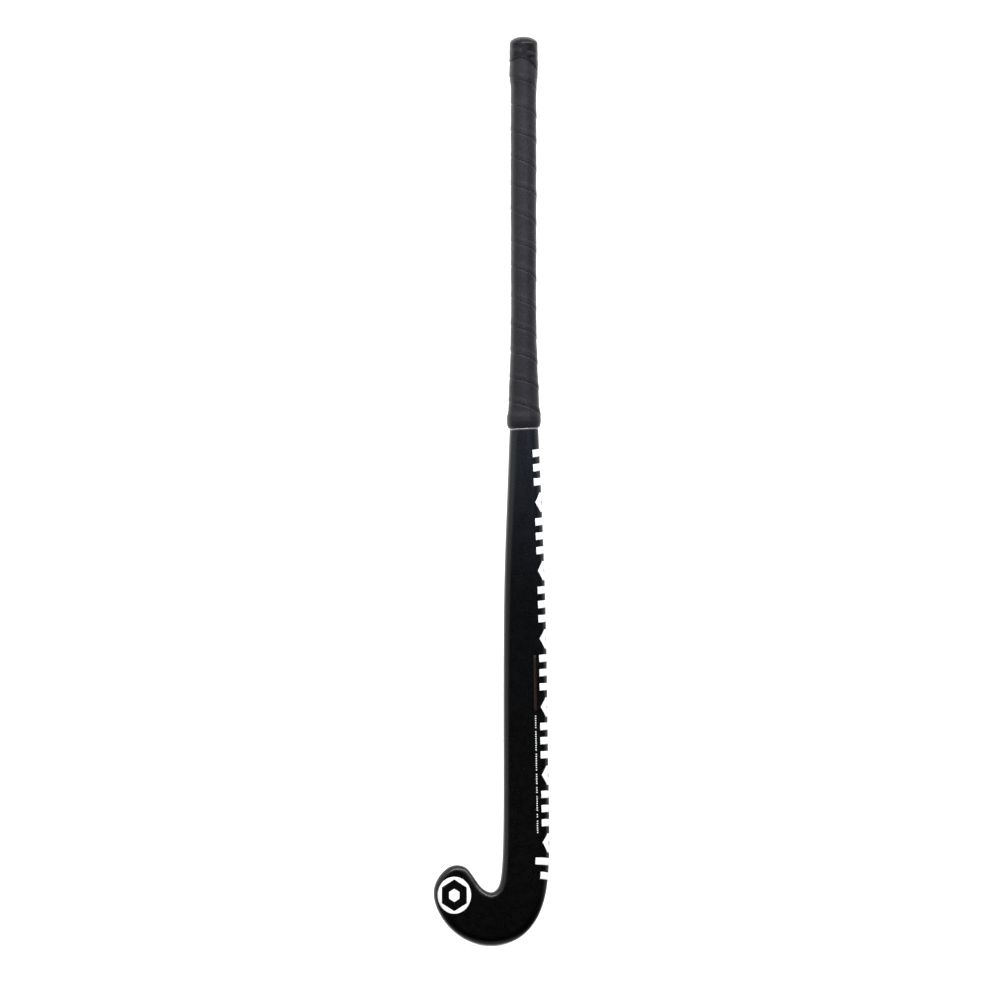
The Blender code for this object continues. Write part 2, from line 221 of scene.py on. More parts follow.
def section(at):
    """The flat ring of the stick's section at this length: across the face, then across the back."""
    toe, heel = OUTLINE(np.array([at - TIP, TIP - at]))
    corner, front, back = DEPTHS_AT(at)[0]
    shares = (1 - np.cos(np.linspace(0, math.pi, SECTION_STEPS + 1))) / 2
    flat = toe + shares[:, None] * (heel - toe)
    edge = distance_to_outline(flat)
    edge[[0, -1]] = 0
    dome = np.linalg.norm(heel - toe) / 2
    if at > along_at(HEAD_TOP):
        # Past the heel the back's depth falls with the room inside the outline.
        dome = min(max(dome, TOE_DOME), edge.max())
        back = back * rise(dome / TOE_DOME)
    widest = PLAYING_FACE_Y + front
    face_y = widest - front * rise(edge / corner)
    back_y = widest + back * rise(edge / dome)
    face = np.stack([flat[:, 0], face_y, flat[:, 1]], axis=1)
    rear = np.stack([flat[:, 0], back_y, flat[:, 1]], axis=1)[-2:0:-1]
    return np.concatenate([face, rear])


# ---------------------------------------------------------------- meshes
def make_piece(name, mesh, finish, replaces=()):
    """An object from a mesh, shaded smooth, with its material and body."""
    mesh.shade_smooth()
    mesh.materials.append(finish)
    piece = bpy.data.objects.new(name, mesh)
    bpy.context.scene.collection.objects.link(piece)
    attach(piece, "root")
    for node in replaces:
        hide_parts(node)
    return piece


def grid_mesh(name, rows, ring=True, capped=False, end_point=None):
    """A mesh through rows of points. Rows that are rings close on themselves."""
    rows = np.asarray(rows)
    corner = np.arange(rows.shape[0] * rows.shape[1]).reshape(rows.shape[:2])
    left = corner if ring else corner[:, :-1]
    right = np.roll(corner, -1, axis=1) if ring else corner[:, 1:]
    faces = np.stack([left[:-1], right[:-1], right[1:], left[1:]], -1).reshape(-1, 4).tolist()
    points = rows.reshape(-1, 3).tolist()
    if capped:
        faces += corner[[0, -1]].tolist()
    if end_point is not None:
        tip = len(points)
        points.append(list(end_point))
        faces += [[a, b, tip] for a, b in zip(left[-1].tolist(), right[-1].tolist())]
    mesh = bpy.data.meshes.new(name)
    mesh.from_pydata(points, [], faces)
    return mesh


def tidy(mesh, weld=0.0):
    """Welds points closer than weld, and turns the faces to point out."""
    shape = bmesh.new()
    shape.from_mesh(mesh)
    if weld:
        bmesh.ops.remove_doubles(shape, verts=shape.verts, dist=weld)
    bmesh.ops.recalc_face_normals(shape, faces=shape.faces)
    shape.to_mesh(mesh)
    shape.free()
    return mesh


def thicken(piece, thickness):
    """Gives a surface a wall of this thickness, on its inner side."""
    wall = piece.modifiers.new("Wall", "SOLIDIFY")
    wall.thickness = thickness
    wall.offset = -1.0
    return piece


# ---------------------------------------------------------------- materials
def set_range(node, *numbers):
    """Sets a Map Range node's numbers: from low, from high, to low, to high."""
    for socket, number in zip(("From Min", "From Max", "To Min", "To Max"), numbers):
        node.inputs[socket].default_value = number


class Finish:
    """A node material on one Principled shader, built up by adding detail to it. Textures have
    their scale in repeats a metre.
    """

    def __init__(self, name, roughness, **constants):
        self.material = bpy.data.materials.new(name)
        self.material.use_nodes = True
        self.nodes = self.material.node_tree.nodes
        self.links = self.material.node_tree.links
        self.shader = self.nodes["Principled BSDF"]
        self.shader.inputs["Roughness"].default_value = roughness
        for key, value in constants.items():
            self.shader.inputs[key.replace("_", " ")].default_value = value
        self.place = self.nodes.new("ShaderNodeTexCoord").outputs["Object"]
        self.normal = None

    def stretched(self, x, y, z):
        """Object coordinates scaled by axis, which stretches a texture along the small ones."""
        mapping = self.nodes.new("ShaderNodeMapping")
        mapping.inputs["Scale"].default_value = (x, y, z)
        self.links.new(self.place, mapping.inputs["Vector"])
        return mapping.outputs["Vector"]

    def noise(self, scale, detail=3.0, roughness=0.5, place=None):
        made = self.nodes.new("ShaderNodeTexNoise")
        made.inputs["Scale"].default_value = scale
        made.inputs["Detail"].default_value = detail
        made.inputs["Roughness"].default_value = roughness
        self.links.new(place or self.place, made.inputs["Vector"])
        return made.outputs["Fac"]

    def cells(self, scale):
        """The distance to the middle of the nearest cell."""
        made = self.nodes.new("ShaderNodeTexVoronoi")
        made.inputs["Scale"].default_value = scale
        self.links.new(self.place, made.inputs["Vector"])
        return made.outputs["Distance"]

    def slanted_wave(self, scale, distortion, place=None):
        made = self.nodes.new("ShaderNodeTexWave")
        made.bands_direction = "DIAGONAL"
        made.inputs["Scale"].default_value = scale
        made.inputs["Distortion"].default_value = distortion
        self.links.new(place or self.place, made.inputs["Vector"])
        return made.outputs["Fac"]

    def height(self):
        """How high up the stick a point is, in metres."""
        split = self.nodes.new("ShaderNodeSeparateXYZ")
        self.links.new(self.place, split.inputs["Vector"])
        return split.outputs["Z"]

    def spread(self, value, low, high, to_low=0.0, to_high=1.0):
        made = self.nodes.new("ShaderNodeMapRange")
        set_range(made, low, high, to_low, to_high)
        self.links.new(value, made.inputs["Value"])
        return made.outputs["Result"]

    def combined(self, operation, a, b):
        made = self.nodes.new("ShaderNodeMath")
        made.operation = operation
        self.links.new(a, made.inputs[0])
        self.links.new(b, made.inputs[1])
        return made.outputs["Value"]

    def colours(self, value, *stops):
        """A colour ramp from (position, (r, g, b)) stops."""
        made = self.nodes.new("ShaderNodeValToRGB")
        ramp = made.color_ramp.elements
        while len(ramp) < len(stops):
            ramp.new(0.5)
        for element, (position, colour) in zip(ramp, stops):
            element.position = position
            element.color = (*colour, 1)
        self.links.new(value, made.inputs["Fac"])
        return made.outputs["Color"]

    def mixed(self, factor, a, b):
        """Two colours mixed by a factor. Each colour is a socket or an (r, g, b)."""
        made = self.nodes.new("ShaderNodeMix")
        made.data_type = "RGBA"
        self.links.new(factor, made.inputs["Factor"])
        for socket, value in zip(made.inputs[6:8], (a, b)):
            if isinstance(value, tuple):
                socket.default_value = (*value, 1)
            else:
                self.links.new(value, socket)
        return made.outputs[2]

    def colour(self, socket):
        self.links.new(socket, self.shader.inputs["Base Color"])

    def rough(self, value, low, high):
        self.links.new(self.spread(value, 0.3, 0.7, low, high), self.shader.inputs["Roughness"])

    def bump(self, value, depth, strength=1.0):
        """Adds relief of this depth in metres, on top of any relief added before."""
        made = self.nodes.new("ShaderNodeBump")
        made.inputs["Distance"].default_value = depth
        made.inputs["Strength"].default_value = strength
        self.links.new(value, made.inputs["Height"])
        if self.normal:
            self.links.new(self.normal, made.inputs["Normal"])
        self.normal = made.outputs["Normal"]
        self.links.new(self.normal, self.shader.inputs["Normal"])


def lacquer():
    """Black paint under a satin clear coat, with a painted reflection: the colour brightens from black to
    blue-grey up the shaft, standing in for the brighter light the upper shaft mirrors.
    """
    made = Finish("black_lacquer", 0.28, Coat_Weight=0.25, Coat_Roughness=0.12)
    # Painted reflection: the base colour lightens with height, standing in for the brighter sheen up the
    # shaft.
    depth = made.colours(
        made.spread(made.height(), 0.0, 0.6),
        (0.0, (0.0004, 0.0004, 0.0006)),
        (0.35, (0.0010, 0.0011, 0.0012)),
        (0.6, (0.0022, 0.0026, 0.0032)),
        (0.86, (0.0086, 0.0104, 0.0150)),
    )
    mottle = made.spread(made.noise(60, 4), 0.3, 0.7, 0.0, 0.35)
    made.colour(made.mixed(mottle, depth, (0.0012, 0.0012, 0.0014)))
    made.rough(made.noise(140, 5, 0.65), 0.24, 0.33)
    made.bump(made.noise(420, 2), 0.00001, 0.5)
    hairlines = made.spread(made.noise(90, 6, 0.7, made.stretched(18, 18, 0.6)), 0.6, 0.72)
    made.bump(hairlines, 0.000004, 0.3)
    return made.material


def print_ink(name, colour, worn):
    """Screen-printed ink with a faint mesh texture and tiny pinholes."""
    made = Finish(name, 0.34, Coat_Weight=0.25, Coat_Roughness=0.12)
    pinholes = made.spread(made.noise(900, 3, 0.7), 0.68, 0.75, 0.0, 0.5)
    cloudy = made.mixed(made.spread(made.noise(70, 4), 0.3, 0.7, 0.0, 1.0), colour, worn)
    made.colour(made.mixed(pinholes, cloudy, worn))
    made.rough(made.noise(300, 4), 0.3, 0.42)
    made.bump(made.noise(1400, 2), 0.00002, 0.4)
    return made.material


def polyurethane():
    """The grip: tacky, finely grained, a little purple, with rubbed and dusty patches."""
    made = Finish("grip_polyurethane", 0.45, Sheen_Weight=0.05, Sheen_Roughness=0.4)
    cloud = made.noise(34, 5, 0.6)
    speck = made.noise(2600, 2)
    base = made.colours(
        cloud,
        (0.3, (0.011, 0.011, 0.014)),
        (0.5, (0.013, 0.013, 0.017)),
        (0.72, (0.016, 0.016, 0.021)),
    )
    made.colour(made.mixed(made.spread(speck, 0.35, 0.75, 0.0, 0.3), base, (0.007, 0.007, 0.010)))
    made.rough(made.noise(180, 5), 0.38, 0.5)
    made.bump(made.cells(1500), 0.00012, 0.35)
    made.bump(made.noise(240, 5, 0.6, made.stretched(1, 1, 3.2)), 0.00035, 0.35)
    return made.material


def vinyl():
    """Glossy finishing tape with pull marks round the stick."""
    made = Finish("gloss_tape", 0.36, Specular_IOR_Level=0.35, Coat_Weight=0.15, Coat_Roughness=0.25)
    tone = made.noise(120, 4)
    made.colour(made.colours(tone, (0.3, (0.003, 0.003, 0.004)), (0.7, (0.006, 0.006, 0.009))))
    made.rough(made.noise(260, 4), 0.3, 0.42)
    made.bump(made.noise(110, 3, 0.5, made.stretched(1, 1, 3)), 0.0005, 0.4)
    return made.material


def foil():
    """Satin silver, brushed round the stick."""
    made = Finish("silver_foil", 0.45, Metallic=0.85)
    brushed = made.noise(60, 5, 0.7, made.stretched(6, 6, 160))
    made.colour(made.colours(brushed, (0.3, (0.42, 0.43, 0.46)), (0.7, (0.66, 0.67, 0.7))))
    made.rough(brushed, 0.38, 0.52)
    made.bump(brushed, 0.00002, 0.4)
    return made.material


def foam(name, dark, light, cell_scale):
    """Open foam: pores of a few sizes with painted shade inside them, pale cell walls, dusty and matt."""
    made = Finish(name, 0.92)
    pores = made.cells(cell_scale)
    fine = made.cells(cell_scale * 3.1)
    both = made.combined("MULTIPLY", pores, fine)
    # Painted shade: the colour darkens towards each pore's middle, where the open cells would be in shade.
    made.colour(made.colours(both, (0.0, dark), (0.3, light), (1.0, light)))
    made.rough(made.noise(cell_scale), 0.85, 0.97)
    made.bump(pores, 0.5 / cell_scale, 0.7)
    made.bump(fine, 0.15 / cell_scale, 0.5)
    return made.material


def laminate():
    """Woven fibre in dark resin: two crossed waves make the tows of a twill."""
    made = Finish("inner_laminate", 0.4, Coat_Weight=0.4, Coat_Roughness=0.2)
    warp = made.slanted_wave(110, 0.3)
    weft = made.slanted_wave(110, 0.3, made.stretched(1, 1, -1))
    weave = made.combined("MAXIMUM", warp, weft)
    made.colour(made.colours(weave, (0.4, (0.012, 0.012, 0.014)), (0.95, (0.05, 0.05, 0.056))))
    made.rough(made.noise(200, 4), 0.3, 0.5)
    made.bump(weave, 0.0002, 0.4)
    return made.material


def filler():
    """Cast resin full of hollow microspheres, tan, with flow marks and a few bubbles whose pits hold painted
    shade.
    """
    made = Finish("head_filler", 0.8)
    flow = made.noise(45, 6, 0.6, made.stretched(1, 1, 2.5))
    base = made.colours(flow, (0.3, (0.33, 0.27, 0.16)), (0.7, (0.5, 0.43, 0.27)))
    # Painted shade: small dark spots stand in for the shade inside the bubbles' pits.
    bubbles = made.spread(made.cells(500), 0.1, 0.16, 1.0, 0.0)
    made.colour(made.mixed(bubbles, base, (0.14, 0.11, 0.07)))
    made.rough(made.noise(600), 0.7, 0.9)
    made.bump(made.noise(1800, 3), 0.0001, 0.5)
    return made.material


def moulded(name, colour, worn, roughness, grain):
    """Moulded rubber or nylon with a spark-eroded grain and a slightly worn bloom."""
    made = Finish(name, roughness)
    bloom = made.noise(80, 5, 0.6)
    made.colour(made.mixed(made.spread(bloom, 0.4, 0.7, 0.0, 0.6), colour, worn))
    made.rough(made.noise(300, 4), roughness - 0.08, roughness + 0.1)
    made.bump(made.noise(grain, 3), 0.00012, 0.45)
    return made.material


def finish_hidden_nodes():
    """The CAD nodes that stay keep their shapes and get full materials."""
    woven = laminate()
    finishes = {
        "head_core": filler(),
        "toe_side_tube": woven,
        "heel_side_tube": woven,
        "handle_foam": foam("stopper_foam", (0.4, 0.33, 0.2), (0.68, 0.6, 0.42), 420),
        "end_plug": moulded("plug_nylon", (0.018, 0.018, 0.019), (0.035, 0.035, 0.036), 0.48, 1500),
        "butt_cap": moulded("cap_rubber", (0.016, 0.016, 0.018), (0.03, 0.03, 0.031), 0.66, 1100),
        "grip_underlay": foam("cushion_foam", (0.05, 0.05, 0.055), (0.11, 0.11, 0.12), 900),
        "grip_collar": moulded("collar_rubber", (0.013, 0.013, 0.014), (0.028, 0.028, 0.028), 0.7, 1300),
    }
    for node, finish in finishes.items():
        slots = frame["nodes"][node].data.materials
        slots.clear()
        slots.append(finish)


# ---------------------------------------------------------------- the shell
def shell_lengths():
    """Where the shell has its sections: close together in the hook and closest at its tip."""
    shaft = np.linspace(0, along_at(HEAD_TOP), SHAFT_RINGS)
    hook = np.linspace(along_at(HEAD_TOP), TIP - TIP_RUN, HOOK_RINGS)[1:]
    end = TIP - TIP_RUN * np.linspace(1, 0.22, TIP_RINGS)[1:] ** 2
    return np.concatenate([shaft, hook, end])


def shell(finish):
    """The moulded skin of the shaft and the hook, open at the handle's end."""
    rings = placed([section(at) for at in shell_lengths()])
    x, z = OUTLINE(0.0)[0]
    tip = placed([[x, PLAYING_FACE_Y + TIP_DEPTHS[1] * MM, z]])[0]
    mesh = tidy(grid_mesh("lacquered_shell", rings, end_point=tip))
    piece = make_piece("lacquered_shell", mesh, finish, ["composite_shell"])
    return thicken(piece, SHELL_WALL)


# ---------------------------------------------------------------- prints on the shell
FILM = 0.05 * MM              # thickness of a print
FILM_LIFT = 0.08 * MM         # how far its outside stands off the lacquer
FILM_WELD = 0.002 * MM


class Skin:
    """The shell round its heel-side edge, by height and by girth: the distance round from that
    edge, towards the face below 0 and towards the back above it.
    """

    LOW, HIGH, STEP = 50 * MM, 524 * MM, 1.5 * MM
    GIRTH, GIRTH_STEP = 27 * MM, 0.25 * MM
    SLOPE_STEP = 0.5 * MM     # half the run that the surface's slope is measured over

    def __init__(self):
        heights = np.arange(self.LOW, self.HIGH, self.STEP)
        girths = np.arange(-self.GIRTH, self.GIRTH, self.GIRTH_STEP)
        lengths = np.linspace(0, ALONG[SHAFT_STATIONS], HEEL_SAMPLES)
        heel_heights = OUTLINE(TIP - lengths)[:, 1]
        table = []
        for height in heights:
            ring = section(float(np.interp(-height, -heel_heights, lengths)))
            edge = len(ring) // 2
            way = np.concatenate([[0], np.cumsum(np.linalg.norm(np.diff(ring, axis=0), axis=1))])
            way -= way[edge]
            table.append(np.stack([np.interp(girths, way, ring[:, k]) for k in range(3)], axis=1))
        self.table = np.array(table)

    def at(self, height, girth):
        """The flat points at these heights and girths, between the table's own."""
        row = np.clip((height - self.LOW) / self.STEP, 0, len(self.table) - 1.001)
        col = np.clip((girth + self.GIRTH) / self.GIRTH_STEP, 0, self.table.shape[1] - 1.001)
        i, j = row.astype(int), col.astype(int)
        a, b = (row - i)[..., None], (col - j)[..., None]
        upper = self.table[i, j] * (1 - b) + self.table[i, j + 1] * b
        lower = self.table[i + 1, j] * (1 - b) + self.table[i + 1, j + 1] * b
        return upper * (1 - a) + lower * a

    def lifted(self, height, girth):
        """The point this far up and round, lifted off the lacquer."""
        step = self.SLOPE_STEP
        up = self.at(height + step, girth) - self.at(height - step, girth)
        around = self.at(height, girth + step) - self.at(height, girth - step)
        out = np.cross(around, up)
        out /= np.linalg.norm(out, axis=-1)[..., None]
        return self.at(height, girth) + FILM_LIFT * out


def patch(corners, steps):
    """A grid of points across a four-cornered shape, corners in order."""
    a, b, c, d = np.array(corners, float)
    u = np.linspace(0, 1, steps[0] + 1)[:, None, None]
    v = np.linspace(0, 1, steps[1] + 1)[None, :, None]
    return (a * (1 - v) + b * v) * (1 - u) + (d * (1 - v) + c * v) * u


def joined(name, grids):
    """One mesh from several grids of placed points, welded where they meet."""
    shape = bmesh.new()
    for grid in grids:
        part = grid_mesh(name, grid, ring=False)
        shape.from_mesh(part)
        bpy.data.meshes.remove(part)
    mesh = bpy.data.meshes.new(name)
    shape.to_mesh(mesh)
    shape.free()
    return tidy(mesh, weld=FILM_WELD)


MARKS_TOP = 508 * MM
BAR = 7.5 * MM
BAR_GAP = 7.1 * MM
BAR_SLANT = 2.5 * MM
BARS_IN_GROUP = 3
HEXAGON = 23 * MM
HEXAGON_WIDE = 0.94           # as a share of the marks' reach
HEXAGON_RISE = 2 * MM         # a hexagon's points go this far into the gap above it and below it
MARKS_GROUPS = 6
LAST_BAR_EXTRA = 0.24         # the bar below the last hexagon is longer by this share of the reach
MARKS_START = -12.6 * MM      # the girth where the marks begin, on the face
MARKS_REACH = 25 * MM         # how far they go round the edge from there


def bar(top, extra=0.0):
    """A leaning bar's corners as (height, share of the reach). Extra makes it start sooner."""
    foot = top - BAR
    return [(top, -extra), (top + BAR_SLANT, 1), (foot + BAR_SLANT, 1), (foot, -extra)]


def hexagon_ring(middle):
    """The six sides of a hexagonal ring, each as four corners (height, share of the reach)."""

    def corner(turn, shrink):
        height = middle + (HEXAGON / 2 - shrink) * math.sin(turn)
        return height, 0.5 + (0.5 * HEXAGON_WIDE - shrink / MARKS_REACH) * math.cos(turn)

    turns = [math.pi / 3 * i for i in range(7)]
    return [
        [corner(a, 0), corner(b, 0), corner(b, BAR), corner(a, BAR)] for a, b in zip(turns, turns[1:])
    ]


def edge_marks(skin, finish):
    """Bars and hexagons down the heel-side edge, wrapping from the face to the back."""
    shapes = []
    top = MARKS_TOP
    for _ in range(MARKS_GROUPS):
        for _ in range(BARS_IN_GROUP):
            shapes.append(bar(top))
            top -= BAR + BAR_GAP
        shapes += hexagon_ring(top - HEXAGON / 2 + HEXAGON_RISE)
        top -= HEXAGON + BAR_GAP - 2 * HEXAGON_RISE
    shapes += [bar(top, extra=LAST_BAR_EXTRA), bar(top - BAR - BAR_GAP)]
    grids = []
    for shape in shapes:
        height, share = np.moveaxis(patch(shape, (8, 36)), -1, 0)
        grids.append(placed(skin.lifted(height, MARKS_START + share * MARKS_REACH)))
    piece = make_piece("edge_marks", joined("edge_marks", grids), finish)
    return thicken(piece, FILM)


def face_point(x, z, lift):
    """Points on the playing side at flat x and z, lifted off the lacquer."""
    flat = np.stack([x, z], axis=-1)
    edge = distance_to_outline(flat.reshape(-1, 2)).reshape(x.shape)
    corner, front, _ = DEPTHS_AT(along_at(HEAD_TOP))[0]
    y = PLAYING_FACE_Y + front - (front + lift) * rise((edge + lift) / (corner + lift))
    return placed(np.stack([x, y, z], axis=-1))


DASH = 1.3 * MM
DASH_PITCH = 2.3 * MM
DASHES_TOP = 236 * MM
DASHES_IN_WORDS = (6, 9, 8, 5, 3, 7, 2, 6)
DASH_COLUMN = ((113 * MM, 14.3 * MM), (239 * MM, 12.1 * MM))    # (z, x) at its two ends
RULE = ((10.2, 298), (12.6, 298), (13.4, 241), (11.0, 241))     # the corners, in millimetres


def face_prints(white, rule_ink):
    """A column of small dashes down the face, under a thin faded rule."""
    dashes = []
    z = DASHES_TOP
    for count in DASHES_IN_WORDS:
        for _ in range(count):
            x = np.interp(z, *zip(*DASH_COLUMN))
            left, right, foot = x - DASH / 2, x + DASH / 2, z - DASH
            dashes.append(patch([(left, z), (right, z), (right, foot), (left, foot)], (2, 2)))
            z -= DASH_PITCH
        z -= DASH_PITCH
    rule = patch(np.array(RULE) * MM, (30, 2))
    prints = (("face_dashes", dashes, white, "print_white"), ("face_rule", [rule], rule_ink, "black_lacquer"))
    for name, patches, finish, slot in prints:
        grids = [face_point(grid[..., 0], grid[..., 1], FILM_LIFT) for grid in patches]
        thicken(make_piece(name, joined(name, grids), finish), FILM)


EMBLEM_AT = (-70.6 * MM, 51.1 * MM)
EMBLEM_HALF = (17.05 * MM, 19.0 * MM)
EMBLEM_RING = (0.86, 0.36)    # outside and inside of the hexagonal ring, as shares of the disc
EMBLEM_STEPS = 96


def emblem(white, black):
    """A white disc on the toe with a black hexagonal ring."""
    turns = np.linspace(0, 2 * math.pi, EMBLEM_STEPS + 1)[:-1]

    def film(radii, sides, lift):
        """Rings about the emblem's middle. Radii are shares of it, and sides is 0 for round ones."""
        squeeze = 1.0
        if sides:
            wedge = math.pi / sides
            squeeze = math.cos(wedge) / np.cos((turns + math.pi / 2) % (2 * wedge) - wedge)
        rows = []
        for radius in radii:
            x = EMBLEM_AT[0] + EMBLEM_HALF[0] * radius * squeeze * np.cos(turns)
            z = EMBLEM_AT[1] + EMBLEM_HALF[1] * radius * squeeze * np.sin(turns)
            rows.append(face_point(x, z, lift))
        return rows

    middle = face_point(np.array([EMBLEM_AT[0]]), np.array([EMBLEM_AT[1]]), FILM_LIFT)[0]
    disc = grid_mesh("emblem_disc", film(np.linspace(1, 0.04, 24), 0, FILM_LIFT), end_point=middle)
    thicken(make_piece("emblem_disc", tidy(disc), white), FILM)
    lift = FILM_LIFT + 2 * FILM
    ring = grid_mesh("emblem_ring", film(np.linspace(*EMBLEM_RING, 16), 6, lift))
    thicken(make_piece("emblem_ring", tidy(ring), black), FILM)


# ---------------------------------------------------------------- round the handle
class Handle:
    """The bare handle's surface, by height and by angle: 0 is +X and a quarter turn the back."""

    LOW, HIGH, STEP = 520 * MM, SHELL_TOP, 2 * MM
    ANGLES = 360

    def __init__(self):
        grid = np.linspace(0, 2 * math.pi, self.ANGLES + 1)
        radii, middles = [], []
        for height in np.arange(self.LOW, self.HIGH, self.STEP):
            ring = section(float(along_at(height)))
            middle = (ring.max(0) + ring.min(0)) / 2
            away = ring - middle
            angle = np.arctan2(away[:, 1], away[:, 0]) % (2 * math.pi)
            order = np.argsort(angle)
            radius = np.hypot(away[order, 0], away[order, 1])
            radii.append(np.interp(grid, angle[order], radius, period=2 * math.pi))
            middles.append(middle[:2])
        self.radii, self.middles = np.array(radii), np.array(middles)

    def point(self, height, angle, off):
        """Points that stand off the handle. All three are arrays of one shape."""
        row = np.clip((height - self.LOW) / self.STEP, 0, len(self.radii) - 1.001)
        col = (angle % (2 * math.pi)) / (2 * math.pi) * self.ANGLES
        i, j = row.astype(int), np.minimum(col.astype(int), self.ANGLES - 1)
        a, b = row - i, col - j
        low = self.radii[i, j] * (1 - b) + self.radii[i, j + 1] * b
        high = self.radii[i + 1, j] * (1 - b) + self.radii[i + 1, j + 1] * b
        radius = low * (1 - a) + high * a + off
        middle = self.middles[i] * (1 - a[..., None]) + self.middles[i + 1] * a[..., None]
        x = middle[..., 0] + radius * np.cos(angle)
        y = middle[..., 1] + radius * np.sin(angle)
        return np.stack([x, y, height], axis=-1)


TAPE = 0.9 * MM
TAPE_PITCH = 27.55 * MM
TAPE_LAP = 4.5 * MM
TAPE_RAMP = 3.2 * MM          # a turn comes down off the one before it over this height
TAPE_CLEAR = 0.08 * MM        # and lies this far off it
TAPE_PRESS = 0.3 * MM         # how far a turn is pressed in where the next one laps it
TAPE_PRESS_RUN = 2.2 * MM
TAPE_NARROWEST = 3 * MM       # the strip's ends are cut off where less of it than this is left
TAPE_START = 3.70             # the angle where the first turn starts
TAPE_SLANT = 3.2 * MM         # the turns run level at the toe side and steep at the heel side
FOLD_DEPTH = 0.32 * MM
WRINKLE_DEPTH = 0.10 * MM
TURN_STEPS = 96
TAPE_BARE = 0.35 * MM         # how far off the handle the grip's foot lies
TAPE_BED = 1.3 * MM           # and the rest of it, on the underlay
COLLAR_SWELL = 0.95 * MM      # how much farther off it lies over the collar
BUTT_SWELL = 1.4 * MM         # and over the cap at the butt
# How far each turn's foot is off an even wind, in millimetres, from the collar up
HAND_WIND = (0, -3.5, -4.5, -5.5, -3.6, 0.5, -2.7, 2.5, 0, 1.4, 0, 0.5, 0)
HAND_WIND_AT = Spline(range(len(HAND_WIND)), np.array(HAND_WIND)[:, None] * MM)


def bed(height):
    """How far off the bare handle the tape lies, from the tucked foot to the flare at the butt."""
    tuck = rise((height - GRIP_FOOT) / (4.4 * MM))
    collar = climb(height, GRIP_FOOT, 8 * MM) * (1 - climb(height, COLLAR_TOP - 2 * MM, 8 * MM))
    flare = climb(height, 877 * MM, 13 * MM) * (1 - 0.2 * climb(height, 893 * MM, 12 * MM))
    settled = TAPE_BED + COLLAR_SWELL * collar + BUTT_SWELL * flare
    return TAPE_BARE + (settled - TAPE_BARE) * tuck


def tape_foot(turns):
    """The height of the strip's foot after this many turns of an uneven hand wind."""
    front = 0.75 - (TAPE_START / (2 * math.pi)) % 1
    wander = HAND_WIND_AT(np.clip(turns - 2 - front, 0, len(HAND_WIND) - 1))[0, 0]
    slant = TAPE_SLANT * (-math.sin(TAPE_START - 2 * math.pi * turns) - 1)
    return GRIP_FOOT + TAPE_PITCH * (turns - 1) + wander + slant


def tape_thickness(share):
    """The strip is skived towards both edges. Share runs from 0 at its foot to 1 at its head."""
    return TAPE * (0.5 + 0.5 * np.minimum(ease(share / 0.13), ease((1 - share) / 0.16)))


def pressed(height, next_foot):
    """How far the strip is pressed in by the next turn. Above the collar only."""
    near = climb(height, next_foot - TAPE_PRESS_RUN, TAPE_PRESS_RUN)
    return TAPE_PRESS * near * climb(height, COLLAR_TOP + 2 * MM, 6 * MM)


def dents(height, angle):
    """Soft folds and finer wrinkles in a turn, shallower where the foot is stretched tight."""
    x, y = math.cos(angle), math.sin(angle)
    soft = [noise.noise(Vector((x * 0.9, y * 0.9, h * 62))) for h in height]
    fine = [noise.noise(Vector((x * 2.6, y * 2.6, h * 210 + angle * 0.8))) for h in height]
    free = 0.3 + 0.7 * climb(height, GRIP_FOOT + 2 * MM, 10 * MM)
    return free * (FOLD_DEPTH * np.array(soft) + WRINKLE_DEPTH * np.array(fine))


def wound_grip(handle, finish):
    """One strip wound up the handle. Each turn's foot lies on the head of the turn before."""
    count = int((GRIP_HEAD - GRIP_FOOT) / TAPE_PITCH * TURN_STEPS) + TURN_STEPS
    edge_shares = (0, 0.004, 0.009, 0.016)
    shares = np.concatenate([edge_shares, np.linspace(0.025, 0.3, 13), np.linspace(0.35, 1, 27)])
    rings = []
    for i in range(count):
        turns = i / TURN_STEPS
        angle = TAPE_START - 2 * math.pi * turns
        foot, next_foot = tape_foot(turns), tape_foot(turns + 1)
        head = next_foot + TAPE_LAP
        low, high = max(foot, GRIP_FOOT + FOOT_TILT * math.cos(angle)), min(head, GRIP_HEAD)
        if high - low < TAPE_NARROWEST:
            continue
        height = low + shares * (high - low)
        width = head - foot
        # The turn below ends TAPE_LAP above this turn's foot, and lifts this one up to there.
        below = tape_thickness(1 - np.clip((TAPE_LAP - (height - foot)) / width, 0, 1))
        over = 1 - climb(height, foot + TAPE_LAP - 0.4 * MM, TAPE_RAMP)
        riding = over * climb(turns, 0.85, 0.25)
        lift = riding * (below + TAPE_CLEAR - pressed(foot, foot))
        out = bed(height) + lift - pressed(height, next_foot) + dents(height, angle)
        rounding = 0.15 + 0.85 * climb(height, low, 0.5 * MM)
        rounding *= 0.2 + 0.8 * rise((height - GRIP_FOOT) / (11 * MM))
        angles = np.full_like(height, angle)
        outer = handle.point(height, angles, out + tape_thickness((height - foot) / width) * rounding)
        inner = handle.point(height, angles, out)
        rings.append(np.concatenate([outer, inner[::-1]]))
    mesh = tidy(grid_mesh("wound_grip", placed(rings), capped=True))
    return make_piece("wound_grip", mesh, finish, ["grip_tape"])


DOME = 7.8 * MM
DOME_FOOT = BUTT_Z - DOME
DOME_OUT = 3.5 * MM
END_TAPE = 0.32 * MM
END_EDGE = 903.3 * MM         # the middle height of the end tape's lower edge
END_FLARE = 0.42 * MM         # how far the end tape spreads to go over the grip
END_STEPS = 160


